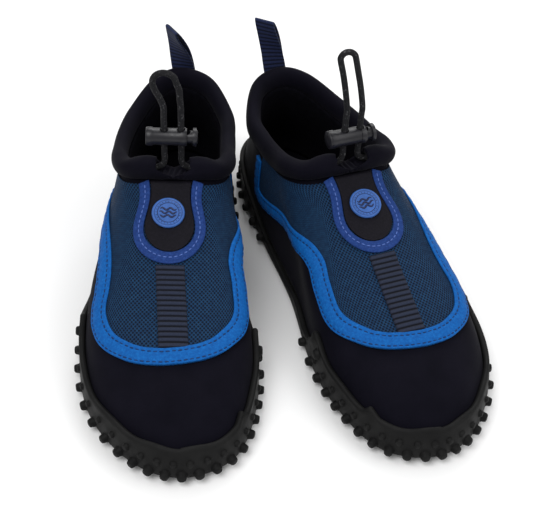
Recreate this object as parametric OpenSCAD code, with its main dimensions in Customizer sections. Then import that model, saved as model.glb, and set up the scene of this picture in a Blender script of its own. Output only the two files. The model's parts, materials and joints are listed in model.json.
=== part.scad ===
/* [Shoe] */
// Overall length of one shoe over the sole studs, mm
shoe_length = 262; // [225:1:300]
// Thickness of the neoprene upper, mm
neoprene_thickness = 3; // [2:0.1:3.6]
// Outward turn of the left shoe of the pair, degrees
left_turn = 20; // [5:0.1:22]

/* [Overlays] */
// Width of the azure trim band, mm
band_width = 9; // [7:0.5:11]
// Width of the violet trim round the instep patch, mm
patch_trim_width = 5.2; // [4:0.1:7]
// Width of the ribbed webbing down the vamp, mm
strap_width = 14.5; // [12:0.5:20]
// Diameter of the round badge, mm
badge_diameter = 17; // [14:0.5:20]

/* [Collar and cord] */
// Height of the padded collar roll, mm
collar_height = 13.5; // [12:0.5:15]
// Thickness of the padded collar roll, mm
collar_width = 10.6; // [9.6:0.2:12]
// Diameter of the elastic cord, mm
cord_diameter = 3.2; // [2.4:0.1:3.4]
// Height of the cord loop above the lock of the right shoe, mm
right_loop_height = 39; // [34:1:55]
// Height of the cord loop above the lock of the left shoe, mm
left_loop_height = 52.5; // [34:0.5:55]
// How far the legs of the right loop bow out, as a share
right_loop_spread = 1; // [0:0.1:1.2]
// How far the legs of the left loop bow out, as a share
left_loop_spread = -0.5; // [-0.6:0.1:1.2]
// How far the top of the right loop leans towards the other shoe, mm
right_loop_lean = -2.5; // [-8:0.5:8]
// How far the top of the left loop leans towards the other shoe, mm
left_loop_lean = 7; // [-8:0.5:8]
// Height of the right cord lock above its collar, mm
right_lock_gap = 7.6; // [3:0.2:9]
// Height of the left cord lock above its collar, mm
left_lock_gap = 4.2; // [3:0.2:9]

/* [Cord lock and pull loop] */
// Outer diameter of the cord lock barrel, mm
lock_diameter = 9.6; // [9.2:0.1:11]
// How far the lock button presses in, mm
button_travel = 2.8; // [1:0.1:3]
// Width of the heel pull loop webbing, mm
pull_loop_width = 13.5; // [9:0.5:16]
// Length of the heel pull loop above its stitching, mm
pull_loop_length = 41; // [30:1:50]

/* [Outsole] */
// How far the side studs stand out of the sole wall, mm
stud_height = 3.4; // [2:0.1:4]
// Thickness of the rubber cup wall, mm
wall_thickness = 2.8; // [2:0.1:3.2]

/* [Hidden] */
k = shoe_length / 262;
z0 = 8;
lug_z = 3;
gap = 0.3;

// Stations round the foot, toe first, then medial side, heel, lateral side:
// foot x, foot y, topline x, topline y, topline z, rise, bulge, reach, drop, rim height
STATIONS = [
  [  9, -127,   0,   12, 70, 30, 1, 0.36, 35, 18],
  [ 31.5, -116,  13, 12.5, 70, 29, 1, 0.36, 33, 18],
  [ 41,  -88.5,  23,   17, 67, 27, 1, 0.36, 26, 19],
  [ 42,  -54,  28,   29, 62, 26, 1, 0.34, 20, 21],
  [ 34,   -5,  28,   46, 56, 24, -3, 0.20, 18, 10],
  [ 31,   42,  28,   64, 54, 22, -2, 0.10, 18, 10],
  [ 27,   88,  26.6,   84, 54, 22, 1, 0.00, 20, 20],
  [ 17,  115,  16.5,  105, 60, 22, 4, 0.00, 22, 22],
  [  0,  124,   0,  112, 62, 22, 4, 0.00, 22, 22],
  [-17,  115, -13.5,  104, 60, 22, 4, 0.00, 22, 22],
  [-28,   88, -25,   83, 54, 22, 2, 0.00, 20, 20],
  [-33,   42, -29,   64, 54, 22, 1, 0.10, 18, 10],
  [-40,   -6, -30,   46, 56, 24, 1, 0.25, 18, 11],
  [-43,  -50, -29,   29, 62, 26, 1, 0.34, 20, 20],
  [-35,  -90, -24,   17, 67, 27, 1, 0.36, 26, 18],
  [-14, -118, -13, 12.5, 70, 29, 1, 0.36, 33, 18]];
ST = [for (s = STATIONS) [s[0] * k, s[1] * k, s[2] * k, s[3] * k, s[4] * k, s[5] * k, s[6] * k, s[7], s[8] * k, s[9] * k]];

function unit(v) = v / max(norm(v), 1e-9);
function lerp(a, b, f) = a + (b - a) * f;
function cr(a, b, c, d, t) = 0.5 * ((2 * b) + (c - a) * t + (2 * a - 5 * b + 4 * c - d) * t * t
  + (3 * b - a - 3 * c + d) * t * t * t);
// point on an open smooth curve through P at parameter x
function oc(P, x) = let (n = len(P) - 1, y = min(max(x, 0), n - 1e-6), i = floor(y), f = y - i)
  cr(P[max(i - 1, 0)], P[i], P[i + 1], P[min(i + 2, n)], f);
function stn(u) = let (w = ((u % 16) + 16) % 16, i = floor(w), f = w - i)
  cr(ST[(i + 15) % 16], ST[i % 16], ST[(i + 1) % 16], ST[(i + 2) % 16], f);
function outw(s) = let (c = min(max(s[1], -80 * k), 85 * k)) unit([s[0], s[1] - c]);
// outer face of the upper: u is the station number, t runs from the sole (0) to the topline (1)
function S(u, t) = let (s = stn(u), o = outw(s), a = [s[0], s[1], z0], d = [s[2], s[3], s[4]],
  b = a + [o[0] * s[6], o[1] * s[6], s[5]],
  c = d - [(d[0] - a[0]) * s[7], (d[1] - a[1]) * s[7], s[8]], q = 1 - t)
  q * q * q * a + 3 * t * q * q * b + 3 * t * t * q * c + t * t * t * d;
function nrm(u, t) = let (e = 0.01, v = min(max(t, e), 1 - e))
  unit(cross(S(u + e, t) - S(u - e, t), S(u, v + e) - S(u, v - e)));
function off(u, t, h) = S(u, t) + nrm(u, t) * h;
// height fraction at which the upper reaches the height z
function t_at(u, z, a = 0, b = 1, n = 14) = n == 0 ? (a + b) / 2
  : let (m = (a + b) / 2) S(u, m)[2] < z ? t_at(u, z, m, b, n - 1) : t_at(u, z, a, m, n - 1);
// station and height fraction of the upper above the plan point x, y
function uv_at(x, y, u, t, n = 7) = n == 0 ? [u, t] : let (p = S(u, t), e = 0.01,
  a = (S(u + e, t) - S(u - e, t)) / (2 * e), b = (S(u, t + e) - S(u, t - e)) / (2 * e),
  D = a[0] * b[1] - a[1] * b[0], rx = x - p[0], ry = y - p[1])
  uv_at(x, y, u + (rx * b[1] - ry * b[0]) / D, min(max(t + (a[0] * ry - a[1] * rx) / D, 0.3), 1.1), n - 1);
function over(x, y, h) = let (q = uv_at(x, y, x / 22, 0.55 + (y + 60) / 170)) off(q[0], q[1], h);
// station and height fraction on the medial (m = 1) or lateral (m = -1) side at the given y and z
function side_uv(y, z, m, u = 4, n = 9) = let (w = m > 0 ? u : -u, t = t_at(w, z))
  n == 0 ? [w, min(t, 0.955)] : side_uv(y, z, m, u + min(max((y - S(w, t)[1]) / 34, -0.6), 0.6), n - 1);
// Azure band centre line, from the rear of the medial side round the toe to the rear of the lateral side
BAND = concat(
  [for (p = [[66, 49], [66.8, 41], [67, 33.5], [65, 27], [57, 25.8], [47, 28.4], [34, 33.2], [20, 38.2], [6, 42], [-7, 45],
    [-17, 46.2], [-27, 44.8], [-38, 41]]) side_uv(p[0] * k, p[1] * k, 1)],
  [[1.93, 0.46], [1.21, 0.465], [0.6, 0.467], [0, 0.465], [-0.6, 0.45], [-1.2, 0.425], [-1.8, 0.405], [-2.15, 0.44]],
  [for (p = [[-41, 39.6], [-29, 43], [-14, 45.8], [3, 46.8], [15, 46], [27, 43.6], [40, 38.4], [52, 31.5], [61, 26.5], [66, 28.5],
    [67, 35], [66.8, 42], [66, 49]]) side_uv(p[0] * k, p[1] * k, -1)]);
BN = len(BAND) - 1;

// plan point moved sideways on the face by w from the path point q with path direction e
function beside(q, e, w, h) = let (d = 0.01, a = (S(q[0] + d, q[1]) - S(q[0] - d, q[1])) / (2 * d),
  tt = min(q[1], 0.985), b = (S(q[0], tt + d) - S(q[0], tt - d)) / (2 * d), n = unit(cross(a, b)),
  T = unit(a * e[0] + b * e[1]), B = cross(n, T), aa = a * a, ab = a * b, bb = b * b, ra = a * B * w, rb = b * B * w,
  D = aa * bb - ab * ab)
  off(q[0] + (ra * bb - rb * ab) / D, min(max(q[1] + (aa * rb - ab * ra) / D, 0.02), 0.975), h);

function flat2(g) = [for (r = g) each r];
function wall_faces(n, m, ring) = let (N = n * m, e = ring ? n - 1 : n - 2) concat(
  [for (i = [0:e], j = [0:m - 2]) let (a = i * m + j, b = ((i + 1) % n) * m + j) each [[a, b + 1, b], [a, a + 1, b + 1]]],
  [for (i = [0:e], j = [0:m - 2]) let (a = N + i * m + j, b = N + ((i + 1) % n) * m + j)
    each [[a, b, b + 1], [a, b + 1, a + 1]]],
  [for (i = [0:e]) let (a = i * m, b = ((i + 1) % n) * m) each [[a, b, N + b], [a, N + b, N + a]]],
  [for (i = [0:e]) let (a = i * m + m - 1, b = ((i + 1) % n) * m + m - 1) each [[a, N + b, b], [a, N + a, N + b]]],
  ring ? [] : [for (j = [0:m - 2]) let (a = j, b = j + 1) each [[a, N + b, b], [a, N + a, N + b]]],
  ring ? [] : [for (j = [0:m - 2]) let (a = (n - 1) * m + j, b = a + 1) each [[a, b, N + b], [a, N + b, N + a]]]);
// closed sheet between an outer grid and an inner grid of points
module sheet(outer, inner, ring = false)
  polyhedron(points = concat(flat2(outer), flat2(inner)), faces = wall_faces(len(outer), len(outer[0]), ring), convexity = 8);
// closed body through rings of equal length, with flat ends; rings run anticlockwise seen from the last one
module rings(R) {
  n = len(R[0]); m = len(R);
  polyhedron(points = flat2(R), faces = concat(
    [[for (i = [0:n - 1]) i]], [[for (i = [n - 1:-1:0]) (m - 1) * n + i]],
    [for (r = [0:m - 2], i = [0:n - 1]) let (a = r * n + i, b = r * n + (i + 1) % n) each [[a, b + n, b], [a, a + n, b + n]]]),
    convexity = 8);
}
function steps(n) = [for (i = [0:n]) i / n];
function foot_ring(n, d) = [for (i = [0:n - 1]) let (p = off(i * 16 / n, 0.01, d)) [p[0], p[1]]];

// ---------------------------------------------------------------- outsole
NU = 52;
module cup() {
  tr = [for (i = [0:NU - 1]) t_at(i * 16 / NU, stn(i * 16 / NU)[9])];
  function row(t, h) = [for (i = [0:NU - 1]) off(i * 16 / NU, t * tr[i], h)];
  function level(d, z) = [for (p = foot_ring(NU, d)) [p[0], p[1], z]];
  w = wall_thickness + gap;
  rings([level(w - 1.6, lug_z), level(w, lug_z + 1.8), row(0, w), row(0.5, w), row(0.93, w), row(1, w - 0.8),
    row(1, gap), row(0.5, gap), row(0, gap), level(gap, 7)]);
}
module stud(u, z, s) {
  t = t_at(u, z);
  p = t <= 0.001 ? [S(u, 0)[0], S(u, 0)[1], z] : S(u, t);
  n = nrm(u, max(t, 0.01));
  a = atan2(n[1], n[0]); b = acos(n[2]);
  translate(p + n * (wall_thickness - 0.8)) rotate([0, b, a]) rotate([0, 0, 45])
    hull() { cylinder(h = 0.1, r = s + 0.7, $fn = 4); cylinder(h = stud_height + 1.1, r = s, $fn = 4); }
}
function studded(u) = let (y = S(u, 0)[1] / k) y < -34 || y > 44;
module outsole() color([0.055, 0.057, 0.06]) union() {
  cup();
  // two staggered rows about 12 mm apart, with the arch left plain
  for (i = [0:52]) if (studded(i * 16 / 53)) stud(i * 16 / 53, 6.6, 2.3);
  for (i = [-10:9]) stud((i + 0.5) * 16 / 53, 13.4, 2.1);
  for (i = [-5:4]) stud(8 + i * 16 / 53, 13.8, 2.1);
  for (x = [-34:17:34], y = [-119:15:119]) {
    if (inside_sole(x * k, y * k)) translate([x * k - 5.4, y * k - 4.2, 0]) cube([10.8, 8.4, lug_z + 1]);
  }
}
function half_width(y) = let (w = [[-130, 4], [-122, 20], [-105, 31], [-88, 35], [-54, 40], [-5, 35], [42, 30], [88, 28],
  [108, 20], [120, 6], [130, 2]]) lookup(y / k, w) * k;
function inside_sole(x, y) = abs(x - lookup(y / k, [[-120, 8], [-88, 2], [-50, -1], [-5, -3], [40, -1], [90, 0], [120, 0]]))
  + 5.4 < half_width(y + (y > 0 ? 4.2 : -4.2));

// ---------------------------------------------------------------- inside
module strobel_board() color([0.16, 0.16, 0.18])
  translate([0, 0, 7.1]) linear_extrude(height = 1.9) polygon(foot_ring(44, -neoprene_thickness - 0.5));
module insole() color([0.09, 0.10, 0.13])
  translate([0, 0, 9.3]) linear_extrude(height = 3.2) polygon(foot_ring(44, -neoprene_thickness - 2.3));
module lining() {
  T = [0.085, 0.25, 0.375, 0.5, 0.625, 0.75, 0.875, 0.955]; a = neoprene_thickness + 0.9;
  function g(h) = [for (i = [0:27]) [for (t = T) off(i * 16 / 28, t, h)]];
  color([0.03, 0.03, 0.05]) sheet(g(-a), g(-a - 0.9), true);
}

// ---------------------------------------------------------------- upper
module upper_shell() color([0.02, 0.02, 0.03])
  sheet([for (i = [0:55]) [for (t = steps(8)) off(i * 16 / 56, t, 0)]],
    [for (i = [0:55]) [for (t = steps(8)) off(i * 16 / 56, t, -neoprene_thickness)]], true);
function bp(x) = oc(BAND, x);
function bdir(x) = bp(x + 0.05) - bp(x - 0.05);
MESH_N = 32;
function mesh_pt(x, s, h) = let (q = bp(x), top = lerp(BAND[0][0], BAND[BN][0], x / BN), v = lerp(q[1], 0.975, s))
  off(lerp(q[0], top, s), v, h);
module mesh_panel() color([0.03, 0.12, 0.24])
  sheet([for (i = [0:MESH_N]) let (x = 1 + (BN - 2) * i / MESH_N) [for (s = [5:-1:0]) mesh_pt(x, s / 5, 1.0)]],
    [for (i = [0:MESH_N]) let (x = 1 + (BN - 2) * i / MESH_N) [for (s = [5:-1:0]) mesh_pt(x, s / 5, 0.35)]]);
// the band narrows towards its two ends
function band_half(x) = let (f = min(max((min(x, BN - x) - 3) / 8, 0), 1)) band_width / 2 * lerp(0.74, 1, f * f * (3 - 2 * f));
module band_trim() {
  function rail(v, h) = [for (i = [0:42]) let (x = i * BN / 42) beside(bp(x), bdir(x), v * band_half(x), h)];
  g = [for (v = [-1, -0.55, 0, 0.55, 1]) rail(v, abs(v) == 1 ? 2.0 : 2.4)];
  l = [for (v = [-1, -0.55, 0, 0.55, 1]) rail(v, v > 0.3 ? 0.35 : 1.35)];
  color([0.07, 0.38, 0.78]) sheet(g, l);
}
// instep patch outline in plan: half width at the distance s down the instep
patch_top = 14.5; patch_len = 39.5; patch_w = 11.5;
// the patch ends at y = patch_top - patch_len inside the trim
// it is narrow near the collar and wider round the badge
function bow(y) = let (f = min(max((4 - y) / 16, 0), 1)) -1.6 + 2.6 * f * f * (3 - 2 * f) + 0.7 * pow(max((y - 4) / 7, 0), 2);
function patch_half(s) = (patch_w + bow(patch_top - 3.5 - s * (patch_len - 3.5)))
  * (s < 0.62 ? 1 : sqrt(max(1 - pow((s - 0.62) / 0.385, 2), 0.0009)));
PATCH_C = -1;
module badge_patch() {
  function g(h) = [for (i = [0:8]) [for (s = [for (j = [0:9]) 1 - pow(1 - j / 9, 1.6)])
    over(PATCH_C + (i / 4 - 1) * patch_half(s), (patch_top - 3.5 - s * (patch_len - 3.5)) * k, h)]];
  color([0.025, 0.023, 0.03]) sheet([for (i = [8:-1:0]) g(2.0)[i]], [for (i = [8:-1:0]) g(1.35)[i]]);
}
// the trim is wider at the bottom of the U
function trim_w(a) = patch_trim_width * (1 + 0.27 * pow(sin(min(max(a - 1, 0), 2) * 90), 2));
function trim_c(a) = let (yb = patch_top - patch_len + patch_w + 0.9, q = min(max(a - 1, 0), 2) * 90,
  y = a < 1 ? lerp(patch_top - 3.5, yb, a) : a > 3 ? lerp(yb, patch_top - 3.5, a - 3)
    : yb - (patch_w + 1.4 + trim_w(a) / 2) * sin(q), r = patch_w + 0.5 + trim_w(a) / 2 + bow(y))
  [-r * cos(q), y];
module patch_trim() {
  function g(v, h) = [for (i = [0:24]) let (a = i / 6, c = trim_c(a), e = unit(trim_c(min(a + 0.02, 4)) - trim_c(max(a - 0.02, 0))))
    over(PATCH_C + c[0] - e[1] * v * trim_w(a) / 2, c[1] + e[0] * v * trim_w(a) / 2, h)];
  color([0.16, 0.28, 0.65]) sheet([for (v = [-1, 0, 1]) g(v, 2.2)], [for (v = [-1, 0, 1]) g(v, 1.35)]);
}
module vamp_strap() {
  function g(h) = [for (i = [0:6]) [for (j = [0:8]) let (s = j / 8, y = lerp(-76.2, patch_top - patch_len - patch_trim_width - 2.6, s))
    over(lerp(3.5, 0, s) + (i / 3 - 1) * strap_width / 2, y * k, h)]];
  color([0.05, 0.05, 0.085]) sheet(g(2.1), g(1.35));
}
module badge() {
  q = uv_at(PATCH_C - 1, -5 * k, 0, 0.88);
  p = off(q[0], q[1], 2.75); n = nrm(q[0], q[1]);
  color([0.19, 0.38, 0.80]) translate(p) rotate([0, acos(n[2]), atan2(n[1], n[0])]) {
    cylinder(h = 1.1, d = badge_diameter, $fn = 64);
    cylinder(h = 1.4, d = badge_diameter - 2, $fn = 64);
  }
}

// ---------------------------------------------------------------- collar
cz = collar_height / 2 + 0.6;
function top_dir(u) = let (d = S(u + 0.02, 1) - S(u - 0.02, 1)) unit([d[1], -d[0], 0]);
// the roll is thinner along the sides and heel than at the front
function slim(u) = let (w = min(max((min(u, 16 - u) - 1.5) / 2.5, 0), 1)) 1.1 * w * w * (3 - 2 * w);
function col_c(u) = S(u, 1) + [0, 0, cz] - top_dir(u) * (0.9 - slim(abs(u)));
gap_u = 0.66;
module collar() {
  m = 34;
  function u_of(j) = lerp(gap_u, 16 - gap_u, j / m);
  function g(a, b, n) = [for (i = [0:n - 1]) [for (j = [0:m]) let (u = u_of(j), c = col_c(u), h = top_dir(u), q = i * 360 / n)
    c + h * (a < 3 ? a : a - slim(u)) * cos(q) - [0, 0, b * sin(q)]]];
  color([0.022, 0.022, 0.03]) sheet(g(collar_width / 2, collar_height / 2, 10), g(2.5, 2.5, 10), true);
}
// gathered lower half of the roll, which runs on under the cord across the notch
module notch_gusset() {
  e = gap_u - 0.03; low = asin(2.6 * 2 / collar_height);
  R = [for (j = [0:10]) let (u = lerp(e, -e, j / 10), c = col_c(u), h = top_dir(u))
    [for (i = [0:7]) let (q = 180 + low + (180 - 2 * low) * i / 7) c + h * collar_width / 2 * cos(q) + [0, 0, collar_height / 2 * sin(q)]]];
  color([0.022, 0.022, 0.03]) rings(R);
}

// ---------------------------------------------------------------- cord and lock
leg = 4.3;
ch = col_c(0);
lock_y = ch[1] + 0.5;
function lock_z(up) = ch[2] + collar_height / 2 + lock_diameter / 2 + up;
// route of the cord outside the collar: L is [height over the lock, lock height over the collar, lean, spread]
function loop_pts(L) = let (z = lock_z(L[1]), e = ch[2], H = L[0], m = L[2], w = L[3], q = 1.4 * (1 - w),
  rise = [[3.6, e + 0.3, 0], [1.1, e + 1.7, 0], [0, e + 4.6, 0], [0, e + 9, 0], [0, z, 0], [0, z + 12, 0], [0, z + H * 0.52, 0],
    [1.6 * w, z + H * 0.66, 0.14], [1.9 * w, z + H * 0.8, 0.46], [-0.2 - q, z + H * 0.94, 0.86]])
  concat([for (r = rise) [-leg - r[0] + m * r[2], lock_y, r[1]]], [[m, lock_y, z + H - cord_diameter / 2]],
    [for (i = [9:-1:0]) [leg + rise[i][0] + m * rise[i][2], lock_y, rise[i][1]]]);
function cord_path(L) = concat([for (i = [0:21]) col_c(8.03 + i * (16 - gap_u - 8.03 - 0.02) / 21)],
  loop_pts(L), [for (i = [0:21]) col_c(gap_u + 0.02 + i * (7.97 - gap_u - 0.02) / 21)]);
function frames(P, i, r) = let (T = unit(P[min(i + 1, len(P) - 1)] - P[max(i - 1, 0)]), v = unit(r - T * (r * T)))
  i == len(P) - 1 ? [[T, v]] : concat([[T, v]], frames(P, i + 1, v));
module tube(P, r, n, start = [0, 0, 1]) {
  F = frames(P, 0, start);
  rings([for (i = [0:len(P) - 1]) let (T = F[i][0], a = F[i][1], b = cross(T, a))
    [for (s = [0:n - 1]) P[i] + r * (a * cos(s * 360 / n) + b * sin(s * 360 / n))]]);
}
module cord(L) color([0.04, 0.04, 0.045]) tube(cord_path(L), cord_diameter / 2, 6);

body_l = -13.2; body_r = 7.2; bore = lock_diameter - 2.4; stem = bore - 0.6; slot = cord_diameter + 0.8;
module lock_barrel(up) color([0.06, 0.06, 0.065]) translate([0, lock_y, lock_z(up)]) difference() {
  rotate([0, 90, 0]) translate([0, 0, body_l]) union() {
    cylinder(h = body_r - body_l, d = lock_diameter - 0.8, $fn = 48);
    translate([0, 0, 0.6]) cylinder(h = 2.4, d = lock_diameter, $fn = 48);
    translate([0, 0, body_r - body_l - 3]) cylinder(h = 2.4, d = lock_diameter, $fn = 48);
  }
  rotate([0, 90, 0]) translate([0, 0, body_l + 1.3]) cylinder(h = 40, d = bore, $fn = 48);
  for (x = [-leg, leg]) translate([x, 0, -10]) cylinder(h = 20, d = slot + 0.2, $fn = 32);
}
module lock_plunger(up) color([0.07, 0.07, 0.075]) translate([0, lock_y, lock_z(up)]) difference() {
  rotate([0, 90, 0]) union() {
    translate([0, 0, -leg - slot / 2 - 1]) cylinder(h = body_r + 3.2 + leg + slot / 2 + 1, d = stem, $fn = 48);
    translate([0, 0, body_r + button_travel + 0.3]) cylinder(h = 1.8, d = lock_diameter - 0.2, $fn = 48);
  }
  for (x = [-leg, leg]) translate([x, 0, -10]) {
    cylinder(h = 20, d = slot, $fn = 32);
    translate([button_travel, 0, 0]) cylinder(h = 20, d = slot, $fn = 32);
    translate([0, -slot / 2, 0]) cube([button_travel, slot, 20]);
  }
}
module lock_spring(up) {
  a = body_l + 1.3 + 0.55; b = -leg - slot / 2 - 1 - 0.55;
  P = [for (i = [0:27]) let (q = i * 36) [lerp(a, b, i / 27), lock_y + 2.1 * cos(q), lock_z(up) + 2.1 * sin(q)]];
  color([0.6, 0.6, 0.62]) tube(P, 0.25, 4, [1, 0, 0]);
}

// ---------------------------------------------------------------- heel pull loop
pl_y = S(8, 1)[1] - 0.9 + collar_width / 2 + 1;
pl_z = S(8, 1)[2] + 3;
module pull_loop() color([0.05, 0.07, 0.17]) translate([-pull_loop_width / 2, pl_y, pl_z]) {
  L = pull_loop_length;
  O = [[0, 0], [2.6, 0], [3.6, L * 0.2], [7.4, L * 0.5], [8.7, L * 0.72], [7.9, L * 0.9], [5.6, L * 0.985], [3.4, L],
    [1.1, L * 0.965], [-0.3, L * 0.87], [-0.5, L * 0.74], [-0.2, L * 0.5], [0, L * 0.2]];
  I = [[1.3, L * 0.2], [2.3, L * 0.22], [6, L * 0.5], [7.3, L * 0.72], [6.7, L * 0.875], [5.1, L * 0.945], [3.4, L * 0.965],
    [1.9, L * 0.94], [1, L * 0.86], [0.8, L * 0.74], [1.1, L * 0.5]];
  rotate([90, 0, 90]) linear_extrude(height = pull_loop_width) difference() { polygon(O); polygon(I); }
}

// ---------------------------------------------------------------- pair
// middle of each shoe, with the middle of the pair at the origin
right_place = [-58.68, -0.63, 0];
left_place = [38.04, 9.41, 0];
module right() translate(right_place) children();
module left() translate(left_place) rotate([0, 0, left_turn]) mirror([1, 0, 0]) children();

PIECES = ["outsole", "strobel_board", "insole", "lining", "upper_shell", "mesh_panel", "band_trim", "badge_patch",
  "patch_trim", "vamp_strap", "badge", "collar", "notch_gusset", "cord", "lock_barrel", "lock_plunger", "lock_spring", "pull_loop"];

// L is [height over the lock, lock height over the collar, lean, spread] of the cord loop; flip turns the lock end for end
module piece(p, L, flip) {
  up = L[1];
  if (p == "outsole") outsole();
  if (p == "strobel_board") strobel_board();
  if (p == "insole") insole();
  if (p == "lining") lining();
  if (p == "upper_shell") upper_shell();
  if (p == "mesh_panel") mesh_panel();
  if (p == "band_trim") band_trim();
  if (p == "badge_patch") badge_patch();
  if (p == "patch_trim") patch_trim();
  if (p == "vamp_strap") vamp_strap();
  if (p == "badge") badge();
  if (p == "collar") collar();
  if (p == "notch_gusset") notch_gusset();
  if (p == "cord") cord(L);
  mirror([flip ? 1 : 0, 0, 0]) {
    if (p == "lock_barrel") lock_barrel(up);
    if (p == "lock_plunger") lock_plunger(up);
    if (p == "lock_spring") lock_spring(up);
  }
  if (p == "pull_loop") pull_loop();
}
RIGHT_LOOP = [right_loop_height, right_lock_gap, right_loop_lean, right_loop_spread];
LEFT_LOOP = [left_loop_height, left_lock_gap, left_loop_lean, left_loop_spread];
for (p = PIECES) {
  right() piece(p, RIGHT_LOOP, false);
  left() piece(p, LEFT_LOOP, true);
}
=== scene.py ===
"""Looks for the pair of neoprene water shoes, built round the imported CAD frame.

Each shoe is modelled once, as the right shoe, in millimetres: +X medial, -Y towards the toe, z = 0 on the
floor. The left shoe is its mirror image, apart from its cord lock, cord loop and heel loop. Where each shoe
stands is read from the frame's sole mounts and joints.
"""
import json
import math

import bpy
import numpy as np
from mathutils import Matrix, Vector


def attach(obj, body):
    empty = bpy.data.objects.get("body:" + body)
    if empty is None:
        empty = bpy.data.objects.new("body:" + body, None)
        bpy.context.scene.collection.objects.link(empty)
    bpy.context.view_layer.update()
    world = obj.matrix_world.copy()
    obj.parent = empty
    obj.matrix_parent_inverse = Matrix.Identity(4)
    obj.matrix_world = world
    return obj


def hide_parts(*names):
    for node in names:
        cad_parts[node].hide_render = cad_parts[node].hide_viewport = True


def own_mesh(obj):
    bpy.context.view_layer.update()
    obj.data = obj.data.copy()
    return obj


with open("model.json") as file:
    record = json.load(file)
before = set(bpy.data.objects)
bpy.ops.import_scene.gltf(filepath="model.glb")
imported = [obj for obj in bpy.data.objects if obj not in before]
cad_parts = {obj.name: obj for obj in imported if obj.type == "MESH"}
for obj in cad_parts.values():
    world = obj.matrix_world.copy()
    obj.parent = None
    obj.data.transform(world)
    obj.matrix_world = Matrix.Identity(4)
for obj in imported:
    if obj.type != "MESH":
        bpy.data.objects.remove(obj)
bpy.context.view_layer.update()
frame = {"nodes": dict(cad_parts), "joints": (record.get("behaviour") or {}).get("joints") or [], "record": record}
MM = 0.001

# ------------------------------------------------------------------ the shoe's form, as in the CAD
SOLE_TOP = 8.0
NEOPRENE = 3.0
WALL = 2.8
GAP = 0.3
# stations round the foot, toe first, then medial side, heel, lateral side:
# foot x, foot y, topline x, y, z, rise, bulge, reach, drop, rim height
STATIONS = np.array([
    [9, -127, 0, 12, 70, 30, 1, 0.36, 35, 18],
    [31.5, -116, 13, 12.5, 70, 29, 1, 0.36, 33, 18],
    [41, -88.5, 23, 17, 67, 27, 1, 0.36, 26, 19],
    [42, -54, 28, 29, 62, 26, 1, 0.34, 20, 21],
    [34, -5, 28, 46, 56, 24, -3, 0.20, 18, 10],
    [31, 42, 28, 64, 54, 22, -2, 0.10, 18, 10],
    [27, 88, 26.6, 84, 54, 22, 1, 0.00, 20, 20],
    [17, 115, 16.5, 105, 60, 22, 4, 0.00, 22, 22],
    [0, 124, 0, 112, 62, 22, 4, 0.00, 22, 22],
    [-17, 115, -13.5, 104, 60, 22, 4, 0.00, 22, 22],
    [-28, 88, -25, 83, 54, 22, 2, 0.00, 20, 20],
    [-33, 42, -29, 64, 54, 22, 1, 0.10, 18, 10],
    [-40, -6, -30, 46, 56, 24, 1, 0.25, 18, 11],
    [-43, -50, -29, 29, 62, 26, 1, 0.34, 20, 20],
    [-35, -90, -24, 17, 67, 27, 1, 0.36, 26, 18],
    [-14, -118, -13, 12.5, 70, 29, 1, 0.36, 33, 18],
], float)
COUNT = len(STATIONS)


def unit(v):
    return v / np.maximum(np.linalg.norm(v, axis=-1, keepdims=True), 1e-9)


def catmull(a, b, c, d, t):
    return 0.5 * (2 * b + (c - a) * t + (2 * a - 5 * b + 4 * c - d) * t * t + (3 * b - a - 3 * c + d)
        * t ** 3)


def open_curve(points, x):
    """Points on an open smooth curve through points, at parameters x from 0 to len(points) - 1."""
    p = np.asarray(points, float)
    n = len(p) - 1
    x = np.clip(np.asarray(x, float), 0, n - 1e-9)
    i = np.floor(x).astype(int)
    f = (x - i)[..., None]
    return catmull(p[np.maximum(i - 1, 0)], p[i], p[i + 1], p[np.minimum(i + 2, n)], f)


def station(u):
    u = np.mod(u, COUNT)
    i = np.floor(u).astype(int)
    f = (u - i)[..., None]
    return catmull(STATIONS[(i - 1) % COUNT], STATIONS[i % COUNT], STATIONS[(i + 1) % COUNT],
        STATIONS[(i + 2) % COUNT], f)


def surface(u, t):
    """Outer face of the upper: u is the station number, t runs from the sole (0) to the topline (1)."""
    u, t = np.broadcast_arrays(np.asarray(u, float), np.asarray(t, float))
    s = station(u)
    t = t[..., None]
    foot = np.stack([s[..., 0], s[..., 1], np.full(u.shape, SOLE_TOP)], -1)
    top = s[..., 2:5]
    centre = np.clip(s[..., 1], -80, 85)
    outward = unit(np.stack([s[..., 0], s[..., 1] - centre], -1))
    low = foot + np.concatenate([outward * s[..., 6:7], s[..., 5:6]], -1)
    high = top - np.concatenate([(top - foot)[..., :2] * s[..., 7:8], s[..., 8:9]], -1)
    q = 1 - t
    return q ** 3 * foot + 3 * t * q * q * low + 3 * t * t * q * high + t ** 3 * top


def normal(u, t, e=0.01):
    v = np.clip(t, e, 1 - e)
    return unit(np.cross(surface(u + e, t) - surface(u - e, t), surface(u, v + e) - surface(u, v - e)))


def off(u, t, h):
    """The outer face moved out by h mm."""
    u, t, h = np.broadcast_arrays(np.asarray(u, float), np.asarray(t, float), np.asarray(h, float))
    return surface(u, t) + normal(u, t) * h[..., None]


def t_at(u, z):
    """Height fraction at which the upper reaches the height z."""
    u, z = np.broadcast_arrays(np.asarray(u, float), np.asarray(z, float))
    a, b = np.zeros(u.shape), np.ones(u.shape)
    for _ in range(16):
        m = (a + b) / 2
        low = surface(u, m)[..., 2] < z
        a, b = np.where(low, m, a), np.where(low, b, m)
    return (a + b) / 2


def side_uv(y, z, side):
    """Station and height fraction on the medial (1) or lateral (-1) side at the given y and z."""
    u = 4.0
    for _ in range(12):
        t = float(t_at(side * u, z))
        u += min(max((y - surface(side * u, t)[1]) / 34, -0.6), 0.6)
    return [side * u, min(float(t_at(side * u, z)), 0.955)]


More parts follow.
